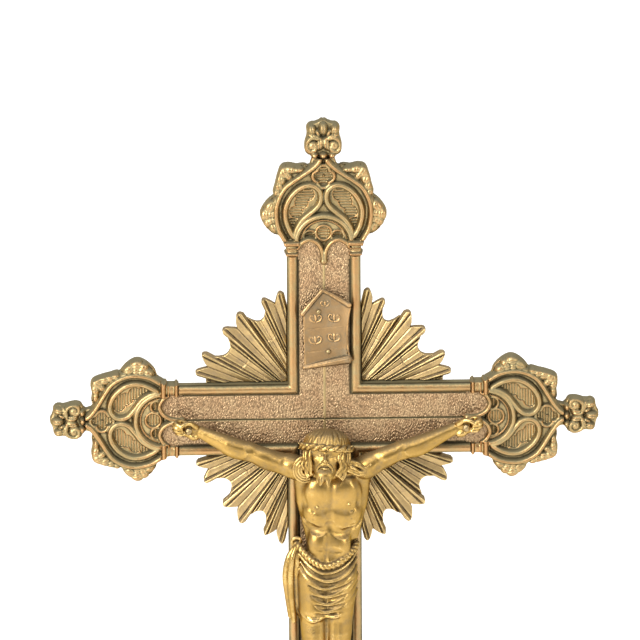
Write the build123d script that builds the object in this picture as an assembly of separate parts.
"""Gothic Revival brass altar cross: cast figure, rays of glory, traceried ends, hexagonal foot.

X runs across the arms, -Y is the front and +Z is up. The origin is on the altar, under the stem.
"""
from build123d import *
import os
from math import cos, radians, sin

os.makedirs("parts", exist_ok=True)

# Heights above the altar
CROSSING = 415.0            # centre of the crossing
PLINTH_TOP = 16.0
STEP_TOP = 22.0
DOME_TOP = 80.0
COLLAR_TOP = 90.0
KNOP_BOTTOM = 106.0
KNOP_TOP = 132.0
SOCKET_BOTTOM = 141.0
SEAT = 177.0                # the cross stands on the socket here

# Limbs of the cross, measured from the crossing
ARM_UP = 89.9
ARM_SIDE = 77.4
SHAFT_DOWN = CROSSING - SEAT - 3.0
BAR_HALF = 19.6             # half the width over the back edges
FIELD_HALF = 14.05          # half the width of the sunk, textured field
MOULDING_R = 2.65           # round moulding along both edges
MOULDING_X = FIELD_HALF + MOULDING_R
CAPITAL_UP = 8.3            # capital and ring at the head of each limb
CAPITAL_SIDE = 9.5
REACH_UP = 45.0             # tracery, from its springing line to the finial
REACH_SIDE = 40.3
FINIAL_UP = 20.9
FINIAL_SIDE = 19.0

# Depths, negative towards the front
MOULDING_Y = -2.9
FIELD_Y = -3.0
CAVITY_Y = -1.2
RIM_Y = 2.0                 # back edge of the hollow front casting
BACK_Y = 4.5                # back of the whole cross
RIB_Y = -5.8                # front of the tracery ribs
SUNK_Y = -1.8               # sunk ground between the ribs

# Hollow of the front casting and what fills it
CAVITY_HALF = 11.5
PLATE_HALF = 14.0
FLANGE = 14.2               # the fans begin this far from the limbs' centre lines
TONGUE = 8.0
SCREW_R = 1.25
HEAD_R = 2.4
FIT = 0.05                  # radial clearance round screws, studs and pins
BACK_SCREWS = ((0, 62), (52, 0), (-52, 0), (0, -20), (0, -110), (0, -165))
CORPUS_FIXINGS = ((0, -42), (0, -88))

# Rays of one quadrant: angles in degrees from the upright, radii from the crossing
SWALLOWTAILS = ((18.6, 26.0), (38.0, 47.4), (61.3, 69.5))
SCOOPS = ((28.6, 35.9), (50.3, 59.0))
TIP_R = 73.0
NOTCH_R = 67.5
SCOOP_CORNER_R = 66.0
SCOOP_R = 62.0
QUADRANTS = {"upper_right": (1, 1), "upper_left": (-1, 1), "lower_left": (-1, -1), "lower_right": (1, -1)}

# Foot and stem, radii to the corners of the hexagon
PLINTH_R = 80.0
STEP_R = 72.0
DOME_SECTIONS = ((STEP_TOP, 66.0), (28.0, 53.0), (38.0, 38.0), (52.0, 25.0), (66.0, 17.0), (DOME_TOP, 14.0))
WALL = 3.0
STEM_R = 11.0
COLLAR_R = 18.0
KNOP_R = 23.0
ROD_R = 3.0
TANG_WIDTH = 14.0
TANG_Y = (-1.1, 1.9)
TANG_END = 151.0            # height of the tang's lower end

# Direction outwards along a limb, and direction across it, for the three traceried ends
FRONTWARDS = (0, -1, 0)
ENDS = {"top": ((0, 0, 1), (1, 0, 0)), "right": ((1, 0, 0), (0, 0, -1)), "left": ((-1, 0, 0), (0, 0, 1))}


def front_plane(y):
    """Drawing plane seen from the front, centred on the crossing at depth y."""
    return Plane(origin=(0, y, CROSSING), x_dir=(1, 0, 0), z_dir=(0, -1, 0))


def slab(sketch, back, front):
    """Solid of a front-view sketch, from depth back to depth front."""
    return extrude(front_plane(back) * sketch, amount=back - front, dir=FRONTWARDS)


def pin(x, z, radius, back, front):
    return slab(Pos(x, z) * Circle(radius), back, front)


def end_plane(end, y):
    """Drawing plane at the springing line of a traceried end: local X across, local Y outwards."""
    out, across = ENDS[end]
    spring = ARM_UP + CAPITAL_UP if end == "top" else ARM_SIDE + CAPITAL_SIDE
    origin = (out[0] * spring, y, CROSSING + out[2] * spring)
    return Plane(origin=origin, x_dir=across, z_dir=(0, -1, 0))


def end_slab(end, sketch, back, front):
    return extrude(end_plane(end, back) * sketch, amount=back - front, dir=FRONTWARDS)


def bar_cross(half_width, down=SHAFT_DOWN):
    """Latin cross sketch of the four limbs."""
    upright = Pos(0, (ARM_UP - down) / 2) * Rectangle(2 * half_width, ARM_UP + down)
    return upright + Rectangle(2 * ARM_SIDE, 2 * half_width)


def hexagon(z, radius):
    return Pos(0, 0, z) * RegularPolygon(radius, 6)


def hex_stack(*sections):
    """Solid through hexagons given as (height, corner radius), straight from one to the next."""
    return loft([hexagon(z, r) for z, r in sections], ruled=True)


def bore(radius, low, high):
    return Pos(0, 0, (low + high) / 2) * Cylinder(radius, high - low)


def fuse(solids):
    total = solids[0]
    for solid in solids[1:]:
        total += solid
    return total


# Cross: the hollow front casting and its flat back plate

def cross_front():
    body = slab(bar_cross(BAR_HALF), RIM_Y, FIELD_Y)
    upright_middle = CROSSING + (ARM_UP - SHAFT_DOWN) / 2
    for side in (-1, 1):
        place = Pos(side * MOULDING_X, MOULDING_Y, upright_middle)
        body += place * Cylinder(MOULDING_R, ARM_UP + SHAFT_DOWN)
        place = Pos(0, MOULDING_Y, CROSSING + side * MOULDING_X) * Rot(0, 90, 0)
        body += place * Cylinder(MOULDING_R, 2 * ARM_SIDE)
    body -= slab(bar_cross(FIELD_HALF), FIELD_Y, FIELD_Y - 2 * MOULDING_R)
    body -= slab(bar_cross(CAVITY_HALF), RIM_Y, CAVITY_Y)
    for x, z in BACK_SCREWS:
        body += pin(x, z, 3.2, RIM_Y, CAVITY_Y)
        body -= pin(x, z, SCREW_R + FIT, RIM_Y, CAVITY_Y)
    for x, z in fan_screw_places():
        body -= pin(x, z, SCREW_R + FIT, RIM_Y, FIELD_Y + 1.0)
    for x, z in CORPUS_FIXINGS:
        body -= pin(x, z, 1.5 + FIT, RIM_Y, FIELD_Y)
    for x, z in title_pin_places() + hand_nail_places():
        body -= pin(x, z, 1.0 + FIT, -1.6, FIELD_Y)
    body -= pin(0, FOOT_REST_Z + 2, SCREW_R + FIT, RIM_Y, FIELD_Y)
    return body


def back_plate():
    plate = slab(bar_cross(PLATE_HALF), BACK_Y, RIM_Y)
    for x, z in BACK_SCREWS + end_screw_places() + tang_rivet_places():
        plate -= pin(x, z, SCREW_R + FIT, BACK_Y, RIM_Y)
        plate -= pin(x, z, HEAD_R + FIT, BACK_Y, BACK_Y - 1.0)
    return plate


def countersunk(x, z, front):
    """Screw or rivet let in from the back, with a flat sunk head."""
    return pin(x, z, HEAD_R, BACK_Y, BACK_Y - 1.0) + pin(x, z, SCREW_R, BACK_Y - 1.0, front)


def back_plate_screws():
    return Compound(children=[countersunk(x, z, CAVITY_Y + 0.1) for x, z in BACK_SCREWS])


# Traceried ends: capitals, ogee arch, crockets and a tongue that plugs into the limb

def ogee(reach, inset=0.0):
    """Outline of the arch, swelling above the springing and drawn in to a narrow neck."""
    k = reach / REACH_UP
    outline = ((20.9, 0), (25.2, 14.8 * k), (21.7, 29 * k), (14.6, 34.3 * k), (6, 41.2 * k), (3.5, reach))
    half = [(u - inset, min(v, reach - inset)) for u, v in outline]
    top = half[-1]
    right = Spline(*half)
    left = Spline(*[(-u, v) for u, v in half])
    return make_face([right, Line(top, (-top[0], top[1])), left, Line((-half[0][0], 0), half[0])])


def outline_rib(outline, width):
    return outline - offset(outline, amount=-width)


def mouchette(side, k):
    """Teardrop light between the two arches."""
    head = Pos(side * 8.3, 24.6 * k) * Circle(6.6)
    tail = Pos(side * 16.6, 5 * k) * Circle(1.9)
    return make_hull(head.edges() + tail.edges())


def quatrefoil(k, lobe):
    foils = [Pos(u, 35.6 * k + v) * Circle(lobe) for u, v in ((2.6, 0), (-2.6, 0), (0, 2.9), (0, -2.9))]
    return fuse(foils)


def crockets(side, k):
    """Two leaves that stand out from the arch, as rounded flat shapes."""
    lower = Polygon((22, 25 * k), (31, 22 * k), (34, 14 * k), (28.5, 7 * k), (22, 4.5 * k), align=None)
    upper = Polygon((6, 37.5 * k), (9, 41 * k), (22.5, 41 * k), (26, 26 * k), (20, 27 * k), align=None)
    leaves = [fillet(leaf.vertices(), 1.8) for leaf in (lower, upper)]
    if side < 0:
        leaves = [mirror(leaf, Plane.YZ) for leaf in leaves]
    return leaves


def traceried_end(end):
    reach, cap = (REACH_UP, CAPITAL_UP) if end == "top" else (REACH_SIDE, CAPITAL_SIDE)
    k = reach / REACH_UP
    arch = ogee(reach)
    panel = Pos(0, -cap / 2 + 4) * Rectangle(2 * FIELD_HALF, cap + 8)
    solid = end_slab(end, arch, BACK_Y, SUNK_Y) + end_slab(end, panel, BACK_Y, FIELD_Y)
    solid += end_slab(end, arch - ogee(reach, 2.3), SUNK_Y, RIB_Y)
    round_arch = (Circle(15.5) - Circle(13.3)) & (Pos(0, 10) * Rectangle(40, 20))
    solid += end_slab(end, round_arch, SUNK_Y, RIB_Y)
    solid += end_slab(end, outline_rib(quatrefoil(k, 3.2), 0.9), SUNK_Y, -4.4)
    for side in (-1, 1):
        solid += end_slab(end, outline_rib(mouchette(side, k), 1.7), SUNK_Y, RIB_Y + 0.3)
        for leaf in crockets(side, k):
            solid += end_slab(end, leaf, BACK_Y, -5.0)
        small_arch = Pos(side * 7.1, -6.0) * (Circle(7.6) - Circle(6.3))
        small_arch &= Pos(0, -1.0) * Rectangle(2 * FIELD_HALF, 10)
        solid += end_slab(end, small_arch, FIELD_Y, -4.8)
        block = Pos(side * 17.4, -cap / 2)
        solid += end_slab(end, block * Rectangle(5.6, cap), BACK_Y, RIB_Y)
        solid += end_slab(end, Pos(side * 17.4, -1.6) * Rectangle(7, 3.2), BACK_Y, RIB_Y - 0.7)
        solid += end_slab(end, Pos(side * 17.4, -cap + 1.2) * Rectangle(6.4, 2.0), BACK_Y, RIB_Y - 0.4)
    tongue = Pos(0, -cap - TONGUE / 2) * Rectangle(2 * CAVITY_HALF - 0.2, TONGUE)
    solid += end_slab(end, tongue, RIM_Y - 0.1, CAVITY_Y + 0.1)
    for u in (-7, 7):
        hole = Pos(u, -cap - TONGUE / 2) * Circle(SCREW_R + FIT)
        solid -= end_slab(end, hole, RIM_Y, CAVITY_Y)
    return solid - finial_stud(end, FIT)


def end_screw_places():
    """Front-view places of the two screws that hold each tongue."""
    up = ARM_UP - TONGUE / 2
    out = ARM_SIDE - TONGUE / 2
    return tuple((u, up) for u in (-7, 7)) + tuple((s * out, u) for s in (-1, 1) for u in (-7, 7))


def end_screws():
    return Compound(children=[countersunk(x, z, CAVITY_Y + 0.2) for x, z in end_screw_places()])


def finial_stud(end, clearance=0.0):
    """Stud on the arch's axis, half in the arch and half in the finial."""
    reach = REACH_UP if end == "top" else REACH_SIDE
    middle = end_plane(end, 0.0) * Pos(0, reach, 0) * Rot(90, 0, 0)
    return middle * Cylinder(1.3 + clearance, 10)


def finial(end):
    """Leafy knob: a beaded neck, two side curls and three upper lobes."""
    reach, height = (REACH_UP, FINIAL_UP) if end == "top" else (REACH_SIDE, FINIAL_SIDE)
    k = height / FINIAL_UP
    lobes = [Pos(0, reach + 2.2) * Rectangle(8, 4.4)]
    lobes += [Pos(u, reach + 7.6 * k) * Circle(4.7) for u in (-5.3, 5.3)]
    lobes += [Pos(u, reach + 15.9 * k) * Circle(3.8) for u in (-4.7, 4.7)]
    lobes += [Pos(0, reach + height - 4.6) * Circle(4.6), Pos(0, reach + 10.2 * k) * Rectangle(9, 10)]
    solid = end_slab(end, fuse(lobes), BACK_Y, -5.4)
    for u in (-2.6, 0, 2.6):
        bead = end_plane(end, -5.0) * Pos(u, reach + 2.6, 0)
        solid += bead * Sphere(1.5)
    return solid - finial_stud(end, FIT)


# Rays of glory: one fan in each quadrant, its flange behind the front casting

def polar(angle, radius):
    return radius * sin(radians(angle)), radius * cos(radians(angle))


def fan_outline():
    """Zigzag of tips, notches and scoops, from beside the upright round to beside the arm."""
    points = [(FLANGE, FLANGE), (FLANGE, 66.0), (20.5, 66.5)]
    first, *rest = SWALLOWTAILS
    tails = [first] + [tail for tail in rest]
    for index, (near, far) in enumerate(tails):
        points += [polar(near, TIP_R), polar((near + far) / 2, NOTCH_R), polar(far, TIP_R - 1)]
        if index < len(SCOOPS):
            low, high = SCOOPS[index]
            points += [polar(low, SCOOP_CORNER_R), polar((low + high) / 2, SCOOP_R), polar(high, SCOOP_CORNER_R)]
    points += [(66.5, 20.5), (66.0, FLANGE)]
    return Polygon(*points, align=None)


def ridge(angle, length):
    """Narrow raised edge of a ray, as a flat wedge seen from the front."""
    start = polar(angle, 24.0)
    end = polar(angle, length)
    across = (0.6 * cos(radians(angle)), -0.6 * sin(radians(angle)))
    points = [start, (end[0] - across[0], end[1] - across[1]), (end[0] + across[0], end[1] + across[1])]
    return Polygon(*points, align=None)


def fan_screw_places():
    """Three screws through each fan's flange."""
    local = ((17.0, 17.0), (17.0, 48.0), (48.0, 17.0))
    return tuple((sx * x, sz * z) for sx, sz in QUADRANTS.values() for x, z in local)


def fan(quadrant):
    sx, sz = QUADRANTS[quadrant]
    solid = slab(fan_outline(), BACK_Y, RIM_Y)
    clear = slab(bar_cross(BAR_HALF + 0.3), RIM_Y, -6.0)
    for near, far in SWALLOWTAILS:
        for angle in (near, far):
            solid += slab(ridge(angle, TIP_R - 2), RIM_Y, 0.0) - clear
    for near, far in SCOOPS:
        for angle in (near, far):
            solid += slab(ridge(angle, SCOOP_CORNER_R - 1), RIM_Y, 0.8) - clear
    if sx < 0:
        solid = mirror(solid, Plane.YZ)
    if sz < 0:
        solid = mirror(solid, Plane.XY.offset(CROSSING))
    for x, z in fan_screw_places():
        if x * sx > 0 and z * sz > 0:
            solid -= pin(x, z, SCREW_R + FIT, BACK_Y, RIM_Y)
            solid -= pin(x, z, HEAD_R + FIT, BACK_Y, BACK_Y - 1.0)
    return solid


def fan_screws():
    return Compound(children=[countersunk(x, z, FIELD_Y + 1.2) for x, z in fan_screw_places()])


# Title scroll above the head

def title_pin_places():
    return ((-3.0, 60.0), (2.0, 38.0))


def title_scroll():
    """Curling sheet with a gabled top and a roll along its lower edge."""
    sheet = Polygon((-11.2, 59.5), (-1.2, 71.6), (13.3, 63.7), (12.4, 33.3), (-10.6, 28.9), align=None)
    solid = slab(sheet, -4.4, -6.4)
    roll = Plane(origin=(-10.6, -6.3, CROSSING + 29.4), z_dir=(23.0, 0, 4.4))
    solid += roll * Cone(1.3, 2.8, 23.4, align=(Align.CENTER, Align.CENTER, Align.MIN))
    for x, z in title_pin_places():
        solid -= pin(x, z, 1.0 + FIT, -4.4, -6.4)
    return solid


def title_pins():
    pins = []
    for x, z in title_pin_places():
        pins.append(pin(x, z, 1.0, -1.7, -6.4) + pin(x, z, 1.7, -6.4, -7.2))
    return Compound(children=pins)


# Figure: body with head and legs, two arms let into the shoulders, nails and foot rest

SHOULDER = (16.5, -12.0, -24.5)
ARM_POINTS = ((40.5, -12.2, -14.8), (54.0, -10.8, -10.6), (66.0, -8.6, -5.0))
ARM_RADII = (5.6, 6.2, 5.2, 4.0)
HAND_POINTS = ((66.0, -8.6, -5.0), (72.0, -8.4, -3.6), (77.0, -9.0, -1.6))
HAND_RADII = (3.6, 4.7, 3.4)
PALM = (72.5, -3.4)         # the nail goes through here
STRETCH = {-1: 1.0, 1: 1.034}   # the arm on the right side reaches a little further out
TORSO = ((-23, 11, 6.5, -12.5), (-28, 17, 7.5, -12), (-42, 15.6, 9.5, -13.2), (-58, 14, 8.4, -12.6),
         (-68, 13.2, 7.6, -12), (-82, 15.4, 9, -13), (-98, 13.5, 8.8, -13.2))
FOOT_REST_Z = -190.0


def at_crossing(point):
    x, y, z = point
    return Vector(x, y, z + CROSSING)


def tapered(points, radii):
    """Round limb through points, thinning from one radius to the next, with rounded joints."""
    solid = Pos(*at_crossing(points[0])) * Sphere(radii[0])
    for start, end, r0, r1 in zip(points, points[1:], radii, radii[1:]):
        low = at_crossing(start)
        run = at_crossing(end) - low
        cone = Cone(r0, r1, run.length, align=(Align.CENTER, Align.CENTER, Align.MIN))
        solid += Plane(origin=low, z_dir=run) * cone
        solid += Pos(*at_crossing(end)) * Sphere(r1)
    return solid


def ellipsoid(centre, half_sizes):
    return Pos(*at_crossing(centre)) * scale(Sphere(1.0), by=half_sizes)


def corpus_body():
    solid = loft([Pos(0, y, CROSSING + z) * Ellipse(a, b) for z, a, b, y in TORSO])
    solid += tapered(((0, -13, -24), (0, -18, -18)), (5.6, 5.2))
    solid += ellipsoid((0, -19.5, -15.5), (10.5, 9.5, 12.5))
    solid += ellipsoid((-1.0, -21.5, -26.5), (4.6, 4.2, 7.0))
    solid += ellipsoid((0, -12, -19), (13.6, 6.5, 15.0))
    for side in (-1, 1):
        leg = ((side * 6.6, -13.5, -94), (side * 5.0, -20.0, -134.5), (side * 3.4, -11.0, -172))
        solid += tapered(leg, (8.2, 6.3, 4.1))
        solid += tapered(((side * 3.2, -11.5, -174), (side * 2.6, -17.0, -186)), (4.2, 3.0))
    solid += ellipsoid((0, -13.5, -88), (17.0, 9.6, 13.0))
    solid += tapered(((-15.0, -14.5, -76), (-18.0, -13.0, -108)), (4.2, 3.2))
    for x, z in CORPUS_FIXINGS:
        solid -= pin(x, z, 1.5 + FIT, 0.0, -10.0)
    solid -= pin(0, -183.5, 1.0 + FIT, 0.0, -30.0)
    for side in (-1, 1):
        solid -= corpus_arm(side)
    return solid


def corpus_arm(side):
    outwards = side * STRETCH[side]
    shoulder = (side * SHOULDER[0], *SHOULDER[1:])
    solid = tapered([shoulder] + [(outwards * x, y, z) for x, y, z in ARM_POINTS], ARM_RADII)
    solid += tapered([(outwards * x, y, z) for x, y, z in HAND_POINTS], HAND_RADII)
    x, z = palm(side)
    return solid - pin(x, z, 1.0 + FIT, 0.0, -12.3) - pin(x, z, 2.0 + FIT, -12.3, -16.0)


def palm(side):
    """Front-view place of the nail in one hand."""
    x, z = PALM
    return side * STRETCH[side] * x, z


def hand_nail_places():
    return palm(-1), palm(1)


def hand_nail(side):
    x, z = palm(side)
    return pin(x, z, 1.0, -1.7, -12.3) + pin(x, z, 2.0, -12.3, -13.6)


def foot_nail():
    return pin(0, -183.5, 1.0, -6.0, -21.5) + pin(0, -183.5, 2.0, -21.5, -22.7)


def corpus_studs():
    return Compound(children=[pin(x, z, 1.5, 1.4, -10.0) for x, z in CORPUS_FIXINGS])


def corpus_nuts():
    nuts = []
    for x, z in CORPUS_FIXINGS:
        outline = Pos(x, z) * (RegularPolygon(3.4, 6) - Circle(1.5 + FIT))
        nuts.append(slab(outline, 1.3, CAVITY_Y))
    return Compound(children=nuts)


def foot_rest():
    """Sloping bracket under the feet."""
    profile = Polygon((-3.0, -9.0), (-3.0, 0.0), (-19.0, -3.0), (-19.0, -5.5), align=None)
    side_view = Plane(origin=(-9, 0, CROSSING + FOOT_REST_Z), x_dir=(0, 1, 0), z_dir=(1, 0, 0))
    lug = slab(Pos(0, FOOT_REST_Z + 2) * Rectangle(9, 6.5), -3.0, -5.5)
    solid = extrude(side_view * profile, amount=18) + lug
    return solid - pin(0, FOOT_REST_Z + 2, SCREW_R + FIT, 0.0, -4.6)


def foot_rest_screw():
    z = FOOT_REST_Z + 2
    return pin(0, z, HEAD_R, RIM_Y - 0.1, CAVITY_Y) + pin(0, z, SCREW_R, CAVITY_Y, -4.5)


# Lower end of the cross: collar and tang

def rectangle_block(width, front, back, low, high):
    return Pos(0, (front + back) / 2, (low + high) / 2) * Box(width, back - front, high - low)


def shaft_collar():
    block = rectangle_block(45.0, -9.0, 8.0, SEAT, SEAT + 5) + rectangle_block(43.0, -8.0, 7.0, SEAT, SEAT + 12)
    block += rectangle_block(45.0, -9.0, 8.0, SEAT + 12, SEAT + 15)
    block -= rectangle_block(2 * BAR_HALF + 0.2, -5.7, BACK_Y + 0.1, SEAT + 3, SEAT + 15)
    low, high = TANG_Y
    return block - rectangle_block(TANG_WIDTH + 0.2, low - 0.1, high + 0.1, SEAT, SEAT + 3)


def tang_rivet_places():
    return ((0, -SHAFT_DOWN + 8), (0, -SHAFT_DOWN + 18))


def tang():
    low, high = TANG_Y
    bar = rectangle_block(TANG_WIDTH, low, high, TANG_END, CROSSING - SHAFT_DOWN + 26)
    for x, z in tang_rivet_places():
        bar -= pin(x, z, SCREW_R + FIT, RIM_Y, CAVITY_Y)
    return bar


def tang_rivets():
    return Compound(children=[countersunk(x, z, CAVITY_Y + 0.2) for x, z in tang_rivet_places()])


# Foot: socket, stem, knop, domed foot, stepped plinth, closing plate and the rod that clamps them

def socket():
    body = hex_stack((SOCKET_BOTTOM, 12.5), (SOCKET_BOTTOM + 6, 13.5), (SEAT - 8, 20.5))
    body += rectangle_block(46.0, -12.0, 12.0, SEAT - 8, SEAT)
    low, high = TANG_Y
    body -= rectangle_block(TANG_WIDTH + 0.6, low - 0.3, high + 0.3, TANG_END - 1, SEAT)
    return body - bore(ROD_R + FIT, SOCKET_BOTTOM, SOCKET_BOTTOM + 8)


def hex_tube(low, high, radius):
    return hex_stack((low, radius), (high, radius)) - bore(ROD_R + 0.3, low, high)


def knop_half(upper):
    """Half of the faceted knob, hollow inside and split at its widest line."""
    middle = (KNOP_BOTTOM + KNOP_TOP) / 2
    end = KNOP_TOP if upper else KNOP_BOTTOM
    shoulder = middle + 0.62 * (end - middle)
    sections = [(middle, KNOP_R), (shoulder, 0.8 * KNOP_R), (end, STEM_R + 1.5)]
    body = hex_stack(*(sections if upper else sections[::-1]))
    hollow = [(middle, KNOP_R - WALL), (shoulder, 0.8 * KNOP_R - WALL)]
    body -= hex_stack(*(hollow if upper else hollow[::-1]))
    return body - bore(ROD_R + 0.3, min(middle, end), max(middle, end))


def knop_bosses():
    """Six lozenges on the corners of the knob."""
    middle = (KNOP_BOTTOM + KNOP_TOP) / 2
    bosses = []
    for corner in range(6):
        turn = Rot(0, 0, 60 * corner)
        face = Plane(origin=(KNOP_R - 2.0, 0, middle), z_dir=(1, 0, 0))
        lozenge = turn * (face * extrude(Rot(0, 0, 45) * Rectangle(6.5, 6.5), amount=4.2, taper=12))
        bosses.append(lozenge - knop_half(True) - knop_half(False))
    return Compound(children=bosses)


def foot_dome():
    outer = hex_stack(*DOME_SECTIONS)
    inner = hex_stack(*[(z, r - 1.25 * WALL) for z, r in DOME_SECTIONS[:-1]])
    return outer - inner - bore(ROD_R + 0.3, DOME_SECTIONS[-2][0], DOME_TOP)


def foot_step():
    ring = hex_stack((PLINTH_TOP, STEP_R), (STEP_TOP - 2, STEP_R), (STEP_TOP, STEP_R - 3))
    return ring - hex_stack((PLINTH_TOP, 60.0), (STEP_TOP, 60.0))


def foot_plinth():
    outer = hex_stack((0, PLINTH_R), (4, PLINTH_R), (6, PLINTH_R - 2.5), (12, PLINTH_R - 2.5),
                      (PLINTH_TOP, PLINTH_R - 6))
    return outer - hex_stack((0, 62.0), (PLINTH_TOP, 62.0))


def foot_plate():
    plate = hex_stack((0, 61.8), (5, 61.8)) - bore(9.0, 0, 3.6)
    return plate - bore(ROD_R + 0.3, 3.6, 5)


def tie_rod():
    return bore(ROD_R, 0.8, SOCKET_BOTTOM + 8)


def tie_rod_washer():
    return bore(8.0, 2.8, 3.6) - bore(ROD_R + 0.3, 2.8, 3.6)


def tie_rod_nut():
    return hex_stack((0.6, 5.8), (2.8, 5.8)) - bore(ROD_R + FIT, 0.6, 2.8)


def lower_collar():
    ring = hex_stack((DOME_TOP, 15.0), (DOME_TOP + 3, COLLAR_R), (DOME_TOP + 7, COLLAR_R), (COLLAR_TOP, 13.0))
    return ring - bore(ROD_R + 0.3, DOME_TOP, COLLAR_TOP)


NODES = {
    "cross_front": cross_front,
    "back_plate": back_plate,
    "back_plate_screws": back_plate_screws,
    "end_screws": end_screws,
    "glory_screws": fan_screws,
    "title_scroll": title_scroll,
    "title_pins": title_pins,
    "corpus_body": corpus_body,
    "corpus_studs": corpus_studs,
    "corpus_nuts": corpus_nuts,
    "foot_nail": foot_nail,
    "foot_rest": foot_rest,
    "foot_rest_screw": foot_rest_screw,
    "shaft_collar": shaft_collar,
    "tang": tang,
    "tang_rivets": tang_rivets,
    "socket": socket,
    "stem_upper": lambda: hex_tube(KNOP_TOP, SOCKET_BOTTOM, STEM_R),
    "knop_upper": lambda: knop_half(True),
    "knop_lower": lambda: knop_half(False),
    "knop_bosses": knop_bosses,
    "stem_lower": lambda: hex_tube(COLLAR_TOP, KNOP_BOTTOM, STEM_R),
    "lower_collar": lower_collar,
    "foot_dome": foot_dome,
    "foot_step": foot_step,
    "foot_plinth": foot_plinth,
    "foot_plate": foot_plate,
    "tie_rod": tie_rod,
    "tie_rod_washer": tie_rod_washer,
    "tie_rod_nut": tie_rod_nut,
}

for node, make in NODES.items():
    export_step(make(), f"parts/{node}.step")

for end in ENDS:
    export_step(traceried_end(end), f"parts/terminal_{end}.step")
    export_step(finial(end), f"parts/finial_{end}.step")
export_step(Compound(children=[finial_stud(end) for end in ENDS]), "parts/finial_studs.step")

for quadrant in QUADRANTS:
    export_step(fan(quadrant), f"parts/glory_{quadrant}.step")

for name, side in (("left", -1), ("right", 1)):
    export_step(corpus_arm(side), f"parts/corpus_arm_{name}.step")
    export_step(hand_nail(side), f"parts/hand_nail_{name}.step")
